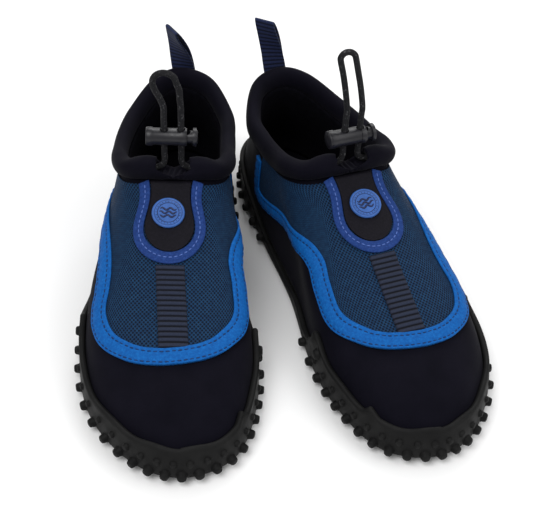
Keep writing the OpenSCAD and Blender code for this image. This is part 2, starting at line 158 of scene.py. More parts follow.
def uv_over(x, y):
    """Station and height fraction of the upper above the plan points x, y of the instep."""
    x, y = np.broadcast_arrays(np.asarray(x, float), np.asarray(y, float))
    u, t, e = x / 22, 0.55 + (y + 60) / 170, 0.01
    for _ in range(10):
        p = surface(u, t)
        a = (surface(u + e, t) - surface(u - e, t)) / (2 * e)
        b = (surface(u, t + e) - surface(u, t - e)) / (2 * e)
        det = a[..., 0] * b[..., 1] - a[..., 1] * b[..., 0]
        rx, ry = x - p[..., 0], y - p[..., 1]
        u = u + (rx * b[..., 1] - ry * b[..., 0]) / det
        t = np.clip(t + (a[..., 0] * ry - a[..., 1] * rx) / det, 0.3, 1.1)
    return u, t


def over(x, y, h):
    u, t = uv_over(x, y)
    return off(u, t, h)


def beside(path, w, h):
    """Points w mm to the side of a path of [station, height fraction] rows, h mm above the face."""
    path, d = np.asarray(path, float), 0.01
    u, t = path[:, 0], np.minimum(path[:, 1], 0.985)
    a = (surface(u + d, t) - surface(u - d, t)) / (2 * d)
    b = (surface(u, t + d) - surface(u, t - d)) / (2 * d)
    e = np.gradient(path, axis=0)
    along = unit(a * e[:, :1] + b * e[:, 1:])
    side = np.cross(unit(np.cross(a, b)), along) * w
    aa, ab, bb = (a * a).sum(1), (a * b).sum(1), (b * b).sum(1)
    ra, rb = (a * side).sum(1), (b * side).sum(1)
    det = aa * bb - ab * ab
    return off(path[:, 0] + (ra * bb - rb * ab) / det,
               np.clip(path[:, 1] + (aa * rb - ab * ra) / det, 0.02, 0.975), h)


# azure band centre line: rear of the medial side, round the toe, rear of the lateral side
BAND = ([side_uv(y, z, 1) for y, z in [
            (66, 49), (66.8, 41), (67, 33.5), (65, 27), (57, 25.8), (47, 28.4), (34, 33.2), (20, 38.2), (6, 42),
            (-7, 45), (-17, 46.2), (-27, 44.8), (-38, 41)]]
        + [[1.93, 0.46], [1.21, 0.465], [0.6, 0.467], [0, 0.465],
           [-0.6, 0.45], [-1.2, 0.425], [-1.8, 0.405], [-2.15, 0.44]]
        + [side_uv(y, z, -1) for y, z in [
            (-41, 39.6), (-29, 43), (-14, 45.8), (3, 46.8), (15, 46), (27, 43.6), (40, 38.4), (52, 31.5),
            (61, 26.5), (66, 28.5), (67, 35), (66.8, 42), (66, 49)]])
BAND_END = len(BAND) - 1
BAND_WIDTH = 9.0
PATCH_X, PATCH_TOP, PATCH_LENGTH, PATCH_HALF = -1.0, 14.5, 39.5, 11.5
PATCH_TRIM = 5.2
STRAP_WIDTH = 14.5
BADGE = 17.0
COLLAR_HEIGHT, COLLAR_WIDTH, COLLAR_INSET, NOTCH = 13.5, 10.6, 0.9, 0.66
CORD = 3.2
LEG = 4.3
LOCK_DIAMETER = 9.6
LOCK_TRAVEL = 12.0
BUTTON_FACE, CLOSED_END = 12.1, -13.0
PULL_LOOP_WIDTH, PULL_LOOP_LENGTH = 13.5, 41.0
LOOP_HEIGHT = {"right": 39.0, "left": 52.5}
LOOP_LEAN = {"right": -4.0, "left": 7.0}
LOOP_RADIUS = {"right": 5.9, "left": 4.1}
LOCK_GAP = {"right": 7.6, "left": 4.2}


def topline_out(u):
    d = surface(np.asarray(u, float) + 0.02, 1.0) - surface(np.asarray(u, float) - 0.02, 1.0)
    return unit(np.stack([d[..., 1], -d[..., 0], np.zeros(d.shape[:-1])], -1))


def slim(u):
    """How much thinner each half of the roll is along the sides and heel than at the front."""
    u = np.mod(np.asarray(u, float), COUNT)
    w = np.clip((np.minimum(u, COUNT - u) - 1.5) / 2.5, 0, 1)
    return 1.1 * w * w * (3 - 2 * w)


def collar_line(u):
    """Middle of the collar roll."""
    inset = (COLLAR_INSET - slim(u))[..., None]
    return surface(u, 1.0) + np.array([0, 0, COLLAR_HEIGHT / 2 + 0.6]) - topline_out(u) * inset


# ------------------------------------------------------------------ where each shoe stands
class Shoe:
    """One shoe of the pair: it turns shoe millimetres into row metres."""

    def __init__(self, side):
        self.side = side
        self.mirror = side == "left"
        mount = next(m for m in frame["record"]["mounts"] if m["name"] == side + "_sole")
        press = next(j for j in frame["joints"] if j["name"] == side + "_button_press")
        self.turn = math.atan2(-press["axis"][1], -press["axis"][0])
        c, s = math.cos(self.turn), math.sin(self.turn)
        self.rotation = np.array([[c, -s, 0], [s, c, 0], [0, 0, 1.0]])
        self.place = np.array(mount["pos_m"]) - self.rotation @ np.array([0, 1, 0]) * MM

    def points(self, p):
        p = np.asarray(p, float) * MM
        if self.mirror:
            p = p * [-1, 1, 1]
        return p @ self.rotation.T + self.place

    def name(self, piece):
        return f"{self.side}_{piece}_look"

    def body(self, name="shoe"):
        return f"{self.side}_{name}"


# ------------------------------------------------------------------ mesh helpers
def new_object(shoe, piece, points, faces, material, uvs=None, smooth=True):
    """A mesh in the row frame from shoe-millimetre points. uvs holds one (u, v) in mm per face corner."""
    points = shoe.points(np.asarray(points, float).reshape(-1, 3))
    if shoe.mirror:
        faces = [f[::-1] for f in faces]
        uvs = None if uvs is None else [f[::-1] for f in uvs]
    mesh = bpy.data.meshes.new(shoe.name(piece))
    mesh.from_pydata(points.tolist(), [], [list(map(int, f)) for f in faces])
    if uvs is not None:
        layer = mesh.uv_layers.new(name="UVMap")
        layer.data.foreach_set("uv", np.concatenate([np.asarray(f, float).reshape(-1) for f in uvs]))
    mesh.polygons.foreach_set("use_smooth", [smooth] * len(mesh.polygons))
    mesh.materials.append(material)
    mesh.validate()
    obj = bpy.data.objects.new(shoe.name(piece), mesh)
    bpy.context.scene.collection.objects.link(obj)
    return obj


def arc_uv(P, axis):
    """Distance run along one axis of a grid of points."""
    step = np.linalg.norm(np.diff(P, axis=axis), axis=2)
    zero = np.zeros_like(np.take(step, [0], axis=axis))
    return np.cumsum(np.concatenate([zero, step], axis=axis), axis=axis)


def grid(P, close_i=False, close_j=False, centre_i=False, cap_i=False, along=None):
    """Points, quads and millimetre UVs of a grid of points.

    close_ wraps a direction, and cap_i closes its open ends.

    along, one value for each row, takes the place of the distance run down the rows."""
    n, m = P.shape[:2]
    ext = P if not close_i else np.concatenate([P, P[:1]], 0)
    ext = ext if not close_j else np.concatenate([ext, ext[:, :1]], 1)
    U, V = arc_uv(ext, 0), arc_uv(ext, 1)
    if along is not None:
        U = np.broadcast_to(np.asarray(along, float)[:, None], U.shape)
    if centre_i:
        U = U - U[U.shape[0] // 2]
    faces, uvs = [], []
    for i in range(ext.shape[0] - 1):
        for j in range(ext.shape[1] - 1):
            a, b = i % n, (i + 1) % n
            c, d = j % m, (j + 1) % m
            faces.append((a * m + c, b * m + c, b * m + d, a * m + d))
            uvs.append([(U[i, j], V[i, j]), (U[i + 1, j], V[i + 1, j]), (U[i + 1, j + 1], V[i + 1, j + 1]),
                        (U[i, j + 1], V[i, j + 1])])
    if cap_i:
        first, last = [j for j in range(m)], [(n - 1) * m + j for j in range(m)]
        faces.append(first)
        uvs.append([(0.0, V[0, j]) for j in range(m)])
        faces.append(last[::-1])
        uvs.append([(0.0, V[-1, j]) for j in range(m)][::-1])
    return P.reshape(-1, 3), faces, uvs


def join(*parts):
    """Several (points, faces, uvs) as one."""
    points, faces, uvs, start = [], [], [], 0
    for p, f, w in parts:
        points.append(np.asarray(p, float).reshape(-1, 3))
        faces += [[k + start for k in q] for q in f]
        uvs += list(w)
        start += len(points[-1])
    return np.concatenate(points), faces, uvs


def tube(path, radius, sides=14, cap=True, ref=(0, 0, 1)):
    """A round tube along a path, with frames carried along it."""
    path = np.asarray(path, float)
    T = unit(np.gradient(path, axis=0))
    v = np.asarray(ref, float)
    rows, r = [], np.broadcast_to(np.asarray(radius, float), (len(path),))
    for i in range(len(path)):
        v = unit(v - T[i] * (T[i] @ v))
        w = np.cross(T[i], v)
        q = np.arange(sides) * 2 * math.pi / sides
        rows.append(path[i] + r[i] * (np.cos(q)[:, None] * v + np.sin(q)[:, None] * w))
    return grid(np.array(rows), close_j=True, cap_i=cap)


def resample(path, step):
    """A smooth curve through path, with points step mm apart."""
    fine = open_curve(path, np.linspace(0, len(path) - 1, 60 * len(path)))
    run = np.concatenate([[0], np.cumsum(np.linalg.norm(np.diff(fine, axis=0), axis=1))])
    at = np.linspace(0, run[-1], max(int(run[-1] / step), 8))
    return np.stack([np.interp(at, run, fine[:, k]) for k in range(fine.shape[1])], 1)


def ripple(P, size, seed=0):
    """Soft, repeatable unevenness from -1 to 1 with features about size mm across."""
    rng = np.random.default_rng(seed)
    out = np.zeros(P.shape[:-1])
    for k in range(7):
        w = unit(rng.normal(size=3)) * 2 * math.pi / size * rng.uniform(0.5, 1.3)
        out += np.sin(P @ w + rng.uniform(0, 6.28))
    return out / 4


def blobs(centres, along, across, up, length, width, height, rings=6, sides=8):
    """Many small rounded bars, such as stitches: one for each centre, with its own axes."""
    parts = []
    q = np.arange(sides) * 2 * math.pi / sides
    a = np.linspace(-math.pi / 2, math.pi / 2, rings)
    shape = np.array([[(math.sin(x), math.cos(x) ** 0.6 * math.cos(y), math.cos(x) ** 0.6 * math.sin(y))
        for y in q]
                      for x in a[1:-1]])
    ends = np.array([[-1.0, 0, 0], [1.0, 0, 0]])
    n, m = shape.shape[:2]
    faces = [(i * m + j, (i + 1) * m + j, (i + 1) * m + (j + 1) % m, i * m + (j + 1) % m)
             for i in range(n - 1) for j in range(m)]
    faces += [(n * m, j, (j + 1) % m) for j in range(m)]
    faces += [(n * m + 1, (n - 1) * m + (j + 1) % m, (n - 1) * m + j) for j in range(m)]
    local = np.concatenate([shape.reshape(-1, 3), ends]) * [length / 2, width / 2, height / 2]
    for c, x, y, z in zip(centres, along, across, up):
        parts.append((c + local @ np.stack([x, y, z]), faces, [[(0, 0)] * len(f) for f in faces]))
    return join(*parts)


def lathe(profile, sides=64):
    """A turned body about z from (radius, height) rows; the ends sit on the axis."""
    q = np.arange(sides) * 2 * math.pi / sides
    body = np.array([[(r * math.cos(a), r * math.sin(a), z) for a in q] for r, z in profile[1:-1]])
    n, m = body.shape[:2]
    faces = [(i * m + j, i * m + (j + 1) % m, (i + 1) * m + (j + 1) % m, (i + 1) * m + j)
             for i in range(n - 1) for j in range(m)]
    points = np.concatenate([body.reshape(-1, 3), [[0, 0, profile[0][1]], [0, 0, profile[-1][1]]]])
    faces += [(n * m, (j + 1) % m, j) for j in range(m)]
    faces += [(n * m + 1, (n - 1) * m + j, (n - 1) * m + (j + 1) % m) for j in range(m)]
    uvs = [[(points[k][0], points[k][1]) for k in f] for f in faces]
    return points, faces, uvs


def moved(part, origin, x, y, z):
    points, faces, uvs = part
    return np.asarray(origin) + points @ np.stack([x, y, z]), faces, uvs


def add(shoe, piece, part, material, body="shoe", stands_for=(), smooth=True):
    obj = new_object(shoe, piece, part[0], part[1], material, part[2], smooth)
    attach(obj, shoe.body(body))
    if stands_for:
        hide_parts(*[f"{shoe.side}_{n}" for n in stands_for])
    return obj


# ------------------------------------------------------------------ materials
class Nodes:
    """A small builder for a procedural material."""

    def __init__(self, name, roughness=0.6, **sockets):
        self.material = bpy.data.materials.new(name)
        self.material.use_nodes = True
        self.tree = self.material.node_tree
        self.shader = self.tree.nodes["Principled BSDF"]
        self.shader.inputs["Roughness"].default_value = roughness
        for key, value in sockets.items():
            self.shader.inputs[key.replace("_", " ")].default_value = value
        self.coords = self.tree.nodes.new("ShaderNodeTexCoord")

    def link(self, a, b):
        self.tree.links.new(a, b)

    def node(self, kind, **settings):
        n = self.tree.nodes.new("ShaderNode" + kind)
        for key, value in settings.items():
            setattr(n, key, value)
        return n

    def mapped(self, source="Object", scale=1.0, angle=0.0):
        n = self.node("Mapping")
        n.inputs["Scale"].default_value = (scale, scale, scale) if np.isscalar(scale) else scale
        n.inputs["Rotation"].default_value = (0, 0, angle)
        self.link(self.coords.outputs[source], n.inputs["Vector"])
        return n.outputs["Vector"]

    def noise(self, scale, detail=3.0, rough=0.55, vector=None):
        n = self.node("TexNoise")
        n.inputs["Scale"].default_value = scale
        n.inputs["Detail"].default_value = detail
        n.inputs["Roughness"].default_value = rough
        self.link(vector or self.coords.outputs["Object"], n.inputs["Vector"])
        return n.outputs["Fac"]

    def ramp(self, factor, *stops):
        n = self.node("ValToRGB")
        while len(n.color_ramp.elements) < len(stops):
            n.color_ramp.elements.new(0.5)
        for element, (at, colour) in zip(n.color_ramp.elements, stops):
            element.position = at
            element.color = (*colour, 1) if not np.isscalar(colour) else (colour, colour, colour, 1)
        self.link(factor, n.inputs["Fac"])
        return n.outputs["Color"]

    def math(self, operation, a, b=None, clamp=False):
        n = self.node("Math", operation=operation, use_clamp=clamp)
        for k, x in enumerate((a, b)):
            if x is None:
                continue
            if isinstance(x, (int, float)):
                n.inputs[k].default_value = x
            else:
                self.link(x, n.inputs[k])
        return n.outputs["Value"]

    def mix(self, factor, a, b, blend="MIX"):
        n = self.node("MixRGB", blend_type=blend)
        for key, x in (("Fac", factor), ("Color1", a), ("Color2", b)):
            if isinstance(x, (int, float)):
                n.inputs[key].default_value = x
            elif isinstance(x, tuple):
                n.inputs[key].default_value = (*x, 1)
            else:
                self.link(x, n.inputs[key])
        return n.outputs["Color"]

    def colour(self, socket):
        self.link(socket, self.shader.inputs["Base Color"])

    def roughness(self, socket):
        self.link(socket, self.shader.inputs["Roughness"])

    def bump(self, height, strength=0.4, distance=0.0004):
        n = self.node("Bump")
        n.inputs["Strength"].default_value = strength
        n.inputs["Distance"].default_value = distance
        self.link(height, n.inputs["Height"])
        previous = self.shader.inputs["Normal"].links
        if previous:
            self.link(previous[0].from_socket, n.inputs["Normal"])
        self.link(n.outputs["Normal"], self.shader.inputs["Normal"])


def neoprene_material():
    m = Nodes("neoprene_knit", 0.82, Sheen_Weight=0.015, Sheen_Roughness=0.45, Specular_IOR_Level=0.06)
    m.colour(m.ramp(m.noise(55, 5), (0.3, (0.0022, 0.0020, 0.0050)), (0.7, (0.0040, 0.0036, 0.0078))))
    m.bump(m.noise(2600, 2), 0.35, 0.0002)
    m.bump(m.noise(120, 3), 0.25, 0.0006)
    return m.material


def lining_material():
    m = Nodes("lining_knit", 0.95, Specular_IOR_Level=0.05)
    m.colour(m.ramp(m.noise(300, 4), (0.35, (0.0012, 0.0011, 0.0022)), (0.7, (0.0026, 0.0024, 0.0042))))
    weave = m.node("TexVoronoi", voronoi_dimensions="2D")
    weave.inputs["Scale"].default_value = 1.0
    m.link(m.mapped("UV", 0.9), weave.inputs["Vector"])
    m.bump(weave.outputs["Distance"], 0.4, 0.0003)
    return m.material


def rubber_material():
    m = Nodes("sole_rubber_moulded", 0.6, Specular_IOR_Level=0.12)
    m.colour(m.ramp(m.noise(90, 6), (0.3, (0.0042, 0.0042, 0.0044)), (0.75, (0.0085, 0.0085, 0.0085))))
    m.roughness(m.ramp(m.noise(160, 3), (0.3, 0.50), (0.75, 0.72)))
    m.bump(m.noise(1500, 3), 0.35, 0.00015)
    return m.material


def suede_material(name, dark, mid, light, sheen=0.04):
    """Suede-like synthetic leather: mottled colour, fine open grain."""
    m = Nodes(name, 0.72, Sheen_Weight=sheen, Sheen_Roughness=0.4, Specular_IOR_Level=0.15)
    mottle = m.noise(700, 6, 0.7)
    m.colour(m.ramp(mottle, (0.28, dark), (0.5, mid), (0.74, light)))
    grain = m.node("TexVoronoi", feature="SMOOTH_F1")
    grain.inputs["Scale"].default_value = 900
    m.link(m.coords.outputs["Object"], grain.inputs["Vector"])
    m.bump(grain.outputs["Distance"], 0.45, 0.0003)
    m.bump(mottle, 0.35, 0.0003)
    return m.material


def mesh_material():
    """Knitted open mesh: rows of small round holes, staggered, over a darker backing."""
    m = Nodes("vamp_mesh_knit", 0.7, Sheen_Weight=0.015, Sheen_Roughness=0.5, Specular_IOR_Level=0.12)
    holes = m.node("TexVoronoi", voronoi_dimensions="2D")
    holes.inputs["Scale"].default_value = 1.0
    holes.inputs["Randomness"].default_value = 0.0
    m.link(m.mapped("UV", (0.68, 0.60, 1), math.radians(45)), holes.inputs["Vector"])
    open_ = m.ramp(holes.outputs["Distance"], (0.27, 0.0), (0.42, 1.0))
    thread = m.ramp(m.noise(420, 4), (0.3, (0.0028, 0.0210, 0.0620)), (0.7, (0.0070, 0.0400, 0.1000)))
    m.colour(m.mix(open_, (0.0003, 0.0030, 0.0120), thread))
    m.bump(open_, 0.7, 0.0006)
    m.bump(m.noise(2500, 2), 0.3, 0.0002)
    return m.material


def ribbed_webbing_painted_shade_material(name, dark, light):
    """Ribbed webbing; its UV runs one unit for each rib. Its colour is painted lighter on the rib crests and
    darker in the grooves, in step with the raised ribs: painted highlight and painted shade; the flecks are the
    yarn's own.
    """
    m = Nodes(name, 0.78, Sheen_Weight=0.03, Specular_IOR_Level=0.15)
    split = m.node("SeparateXYZ")
    m.link(m.coords.outputs["UV"], split.inputs["Vector"])
    rib = m.math("ABSOLUTE", m.math("SINE", m.math("MULTIPLY", split.outputs["X"], math.pi)))
    fleck = m.noise(1400, 4, 0.7)
    # Rib crests get the light colour and grooves the dark one, following the raised ribs: painted highlight and
    # painted shade.
    m.colour(m.mix(m.ramp(rib, (0.35, 0.0), (0.85, 1.0)), dark,
        m.ramp(fleck, (0.3, tuple(0.6 * c for c in light)), (0.7, light))))
    m.bump(fleck, 0.5, 0.0003)
    return m.material


def thread_material(name, colour):
    m = Nodes(name, 0.6, Specular_IOR_Level=0.2)
    dark = tuple(c * 0.6 for c in colour)
    m.colour(m.ramp(m.noise(2200, 3), (0.3, dark), (0.7, colour)))
    m.bump(m.noise(4000, 2), 0.4, 0.0001)
    return m.material


def plastic_material(name, dark, light, roughness=0.32):
    m = Nodes(name, roughness, Specular_IOR_Level=0.38)
    m.colour(m.ramp(m.noise(260, 3), (0.3, dark), (0.7, light)))
    m.roughness(m.ramp(m.noise(500, 4), (0.3, roughness - 0.06), (0.75, roughness + 0.14)))
    m.bump(m.noise(900, 2), 0.08, 0.0002)
    return m.material


def braided_cord_painted_shade_material():
    """Braided sleeve: two crossing sets of yarns with lighter flecks. The gaps between the yarns are painted
    darker than the yarns, in step with the braid's bump: painted shade between the yarns.
    """
    m = Nodes("elastic_cord_braid_painted_shade", 0.7, Specular_IOR_Level=0.15)
    waves = []
    for angle in (0.62, -0.62):
        w = m.node("TexWave", wave_type="BANDS", bands_direction="X")
        w.inputs["Scale"].default_value = 0.42
        m.link(m.mapped("UV", 1.0, angle), w.inputs["Vector"])
        waves.append(w.outputs["Fac"])
    braid = m.math("MAXIMUM", waves[0], waves[1])
    # Painted shade: darker colour in the gaps between the yarns, following the braid's bump; the pale flecks are
    # the cord's own.
    m.colour(m.mix(m.ramp(m.noise(900, 2), (0.60, 0.0), (0.68, 1.0)),
                   m.ramp(braid, (0.3, (0.0030, 0.0030, 0.0036)), (0.9, (0.0130, 0.0130, 0.0150))),
                   (0.08, 0.08, 0.085)))
    m.bump(braid, 0.8, 0.0003)
    return m.material


def steel_material():
    m = Nodes("spring_wire", 0.3, Metallic=1.0)
    m.colour(m.ramp(m.noise(500, 3), (0.3, (0.40, 0.40, 0.42)), (0.7, (0.62, 0.62, 0.64))))
    return m.material


def floor_material():
    m = Nodes("studio_floor", 0.9)
    m.colour(m.ramp(m.noise(2, 2), (0.2, (0.86, 0.86, 0.86)), (0.8, (0.90, 0.90, 0.90))))
    return m.material


MAT = {
    "neoprene": neoprene_material(),
    "lining": lining_material(),
    "rubber": rubber_material(),
    "azure": suede_material("azure_suede", (0.0003, 0.058, 0.238), (0.0008, 0.083, 0.317), (0.0040, 0.130,
        0.422), 0.008),
    "violet": suede_material("violet_suede", (0.0045, 0.020, 0.105), (0.0080, 0.032, 0.150), (0.0180, 0.056,
        0.215), 0.02),
    "patch": suede_material("black_suede", (0.0016, 0.0013, 0.0032), (0.0028, 0.0022, 0.0052),
        (0.0060, 0.0048, 0.0092), 0.01),
    "mesh": mesh_material(),
    # Webbing colours: dark is painted shade in the rib grooves, light is the rib colour with painted highlight on
    # the crests.
    "strap": ribbed_webbing_painted_shade_material("vamp_webbing_painted_rib_shade", (0.0018, 0.0024, 0.0064), (0.0195, 0.0265, 0.0520)),
    "loop": ribbed_webbing_painted_shade_material("loop_webbing_painted_rib_shade", (0.0020, 0.0034, 0.0140), (0.0130, 0.0210, 0.0680)),
    "dark_thread": thread_material("dark_thread", (0.002, 0.028, 0.120)),
    "pale_thread": thread_material("pale_thread", (0.090, 0.160, 0.460)),
    "black_thread": thread_material("black_thread", (0.006, 0.006, 0.009)),
    "badge": plastic_material("badge_blue", (0.021, 0.083, 0.292), (0.033, 0.114, 0.380), 0.45),
    "badge_line": plastic_material("badge_navy", (0.003, 0.008, 0.045), (0.006, 0.014, 0.070), 0.45),
    "lock": plastic_material("lock_nylon", (0.0055, 0.0053, 0.0075), (0.0100, 0.0097, 0.0130), 0.33),
    # The cord colour carries painted shade between the braid's yarns.
    "cord": braided_cord_painted_shade_material(),
    "steel": steel_material(),
    "board": lining_material(),
}


# ------------------------------------------------------------------ sole
def rim_height(u):
    """Top edge of the rubber: high round the toe and heel, low at the arch, with moulded lobes and peaks."""
    u = np.mod(np.asarray(u, float), COUNT)
    z = station(u)[..., 9]
    near = lambda c, w: np.exp(-((((u - c + 8) % 16) - 8) / w) ** 2)
    peak = lambda c, w: np.maximum(1 - np.abs(((u - c + 8) % 16) - 8) / w, 0)
    return z + 4.6 * near(2.76, 0.20) - 5.5 * near(3.32, 0.36) + 2.6 * peak(1.28, 0.17) + 3.0 * near(12.98,
        0.18) + 0.35 * np.sin(u * 7.0)


def wall_point(u, z, h):
    """A point on the sole wall at the height z; below the upper's edge the wall goes straight down."""
    t = np.where(z > SOLE_TOP, t_at(u, np.maximum(z, SOLE_TOP + 0.01)), 0.0)
    p = off(u, t, h)
    drop = np.stack([np.zeros_like(p[..., 0]), np.zeros_like(p[..., 0]), np.minimum(z - SOLE_TOP, 0)], -1)
    return p + drop


def outsole(shoe):
    n = 480
    u = np.arange(n) * 16 / n
    w = WALL + GAP
    rim = rim_height(u)
    rows = []

    def level(h, z):
        p = off(u, 0.01, h)
        p[:, 2] = z
        return p

    for inset, z in ((w - 2.2, 3.0), (w - 1.0, 3.15), (w - 0.3, 3.8), (w, 4.8)):
        rows.append(level(inset, z))
    for f in np.linspace(0, 1, 9):
        z = SOLE_TOP - 1.5 + (rim - SOLE_TOP + 0.7) * f
        lip = 0.35 * np.exp(-((f - 0.97) / 0.10) ** 2)
        rows.append(wall_point(u, z, w + lip - 0.25 * math.sin(f * math.pi)))
    rows.append(wall_point(u, rim - 0.15, w - 0.35))
    rows.append(wall_point(u, rim, w - 1.1))
    rows.append(wall_point(u, rim - 0.1, GAP + 0.5))
    rows.append(wall_point(u, rim - 0.8, GAP))
    rows.append(wall_point(u, (rim + SOLE_TOP) / 2, GAP))
    rows.append(level(GAP, SOLE_TOP))
    rows.append(level(GAP, 7.0))
    P = np.array(rows).transpose(1, 0, 2)
    shell = grid(P, close_i=True)
    m = P.shape[1]
    bottom = [i * m for i in range(n)][::-1]
    floor = [i * m + m - 1 for i in range(n)]
    flat_uv = lambda ids: [(P.reshape(-1, 3)[k][0], P.reshape(-1, 3)[k][1]) for k in ids]
    shell = (shell[0], shell[1] + [bottom, floor], shell[2] + [flat_uv(bottom), flat_uv(floor)])

    peg = lathe([(0, -1.5), (3.0, -1.5), (2.85, 0.0), (2.45, 0.9), (2.25, 2.2), (1.95, 3.0), (1.3, 3.35),
        (0, 3.4)], 16)
    studs, pitch = [], 16 / 53
    studded = lambda a: not -34 < surface(np.array(a), 0.0)[1] < 44
    places = [(k * pitch, 5.8, 1.0, 0.88) for k in range(53) if studded(k * pitch)]
    places += [((k + 0.5) * pitch, 11.9, 0.66, 0.40) for k in range(-10, 10)]
    places += [(8 + k * pitch, 12.3, 0.70, 0.45) for k in range(-5, 5)]
    places += [(2.76, 17.8, 1.1, 0.6), (12.98, 17.0, 1.0, 0.6)]
    rng = np.random.default_rng(5)
    for u0, z0, size, tall in places:
        a = np.array([u0])
        size = size * rng.uniform(0.95, 1.05)
        origin = wall_point(a, np.array([z0]), WALL + GAP - 0.2)[0]
        out = normal(a, t_at(a, z0) if z0 > SOLE_TOP else np.array([0.01]))[0]
        out = unit(np.array([out[0], out[1], out[2] * 0.5]))
        side = unit(np.cross([0, 0, 1], out))
        studs.append(moved((peg[0] * [size, size, tall], peg[1], peg[2]), origin, side, np.cross(out, side),
            out))

    blocks = []
    xs, ys = np.arange(-34, 35, 17), np.arange(-119, 120, 15)
    for x in xs:
        for y in ys:
            if inside_sole(x, y):
                blocks.append(tread_block(x, y, 10.8, 8.4))
    add(shoe, "outsole", join(shell, *studs, *blocks), MAT["rubber"], stands_for=["outsole"])


def tread_block(x, y, wide, long):
    """A tread block with rounded edges, 3 mm high."""
    levels = [(0.0, 0.9), (0.25, 0.35), (0.8, 0.0), (3.4, -0.35)]
    rows = []
    for z, inset in levels:
        a, b = wide / 2 - inset, long / 2 - inset
        ring = []
        for cx, cy, start in ((1, 1, 0), (-1, 1, 90), (-1, -1, 180), (1, -1, 270)):
            for q in (0, 30, 60, 90):
                r = math.radians(start + q)
                ring.append((x + cx * (a - 1.2) + 1.2 * math.cos(r), y + cy * (b - 1.2) + 1.2 * math.sin(r),
                    z))
        rows.append(ring)
    return grid(np.array(rows[::-1]), close_j=True, cap_i=True)


def inside_sole(x, y):
    half = np.interp(y + (4.2 if y > 0 else -4.2), [-130, -122, -105, -88, -54, -5, 42, 88, 108, 120, 130],
                     [4, 20, 31, 35, 40, 35, 30, 28, 20, 6, 2])
    centre = np.interp(y, [-120, -88, -50, -5, 40, 90, 120], [8, 2, -1, -3, -1, 0, 0])
    return abs(x - centre) + 5.4 < half


def insole(shoe):
    """Footbed with a soft rounded edge and a shallow heel cup."""
    n = 220
    u = np.arange(n) * 16 / n
    rows = []
    for inset, z in ((0.6, 9.3), (0.0, 9.9), (0.0, 11.6), (0.5, 12.3), (1.6, 12.5)):
        p = off(u, 0.01, -NEOPRENE - 1.9 - inset)
        p[:, 2] = z
        rows.append(p)
    last = rows[-1]
    spine = np.stack([np.interp(last[:, 1], [-120, -88, -50, -5, 40, 90, 120], [8, 2, -1, -3, -1, 0, 0]),
                      np.clip(last[:, 1], -95, 95), np.full(n, 12.5)], 1)
    for f in np.linspace(0.15, 0.98, 12):
        p = last * (1 - f) + spine * f
        p[:, 2] = 12.5 - 0.9 * math.sin(f * math.pi / 2) + 0.12 * ripple(p, 30, 3)
        rows.append(p)
    P = np.array(rows).transpose(1, 0, 2)
    part = grid(P, close_i=True)
    m = P.shape[1]
    low, top = [i * m for i in range(n)][::-1], [i * m + m - 1 for i in range(n)]
    uv = lambda ids: [(part[0][k][0], part[0][k][1]) for k in ids]
    part = (part[0], part[1] + [low, top], part[2] + [uv(low), uv(top)])
    obj = add(shoe, "insole", part, MAT["lining"], stands_for=["insole"])


# ------------------------------------------------------------------ upper
def upper_shell(shoe):
    n = 384
    u = np.arange(n) * 16 / n
    ts = np.concatenate([[0.0], np.linspace(0.03, 0.985, 56)])

    def outer(u, t):
        p = surface(u, t)
        calm = np.clip((t - 0.05) * 8, 0, 1) * np.clip((1 - t) * 8, 0, 1)
        return 0.22 * ripple(p, 42, 11) * calm + 0.10 * ripple(p, 17, 12) * calm

    rows = [off(u, t, outer(u, t)) for t in ts]
    rim = topline_out(u)
    for inset, lift in ((0.3, 0.9), (0.8, 2.2), (1.9, 2.8), (3.0, 2.2), (3.4, 0.9)):
        rows.append(surface(u, 1.0) - rim * inset + np.array([0, 0, lift]))
    rows += [off(u, t, -NEOPRENE) for t in ts[::-1]]
    part = grid(np.array(rows).transpose(1, 0, 2), close_i=True, close_j=True)
    add(shoe, "upper", part, MAT["neoprene"], stands_for=["upper_shell"])


def lining(shoe):
    n = 240
    u = np.arange(n) * 16 / n
    ts = np.linspace(0.06, 0.955, 28)
    a = NEOPRENE + 0.8
    rows = [off(u, t, -a) for t in ts]
    for inset, lift in ((a, 1.6), (a - 0.6, 3.0), (a - 0.2, 3.4), (a + 0.6, 3.0), (a + 0.9, 1.6)):
        rows.append(surface(u, 1.0) - topline_out(u) * inset + np.array([0, 0, lift]))
    rows += [off(u, t, -a - 0.9) for t in ts[::-1]]
    add(shoe, "lining", grid(np.array(rows).transpose(1, 0, 2), close_i=True, close_j=True), MAT["lining"],
        stands_for=["lining"])


def mesh_panel(shoe):
    cols, rows = 260, 60
    x = np.linspace(0.8, BAND_END - 0.8, cols)
    q = open_curve(BAND, x)
    top = BAND[0][0] + (BAND[-1][0] - BAND[0][0]) * x / BAND_END
    s = np.linspace(1, 0, rows)
    u = q[:, :1] + (top[:, None] - q[:, :1]) * s
    t = q[:, 1:] + (0.982 - q[:, 1:]) * s
    p = surface(u, t)
    pillow = 0.18 * ripple(p, 26, 21) + 0.07 * ripple(p, 9, 22)
    outer = off(u, t, 1.0 + pillow * np.sin(np.pi * np.clip(s, 0.02, 0.98)))
    inner = off(u, t, 0.35)
    P = np.concatenate([outer, inner[:, ::-1]], 1)
    part = grid(P, close_j=True, centre_i=True, cap_i=True)
    add(shoe, "mesh_panel", part, MAT["mesh"], stands_for=["mesh_panel"])


def strip(path_points, half, base, top, profile):
    """A flat band: path_points(v, h) gives the rail v mm to the side at height h; profile lists (v, h)."""
    rows = [path_points(v * half, base + (top - base) * h) for v, h in profile]
    return np.array(rows).transpose(1, 0, 2)


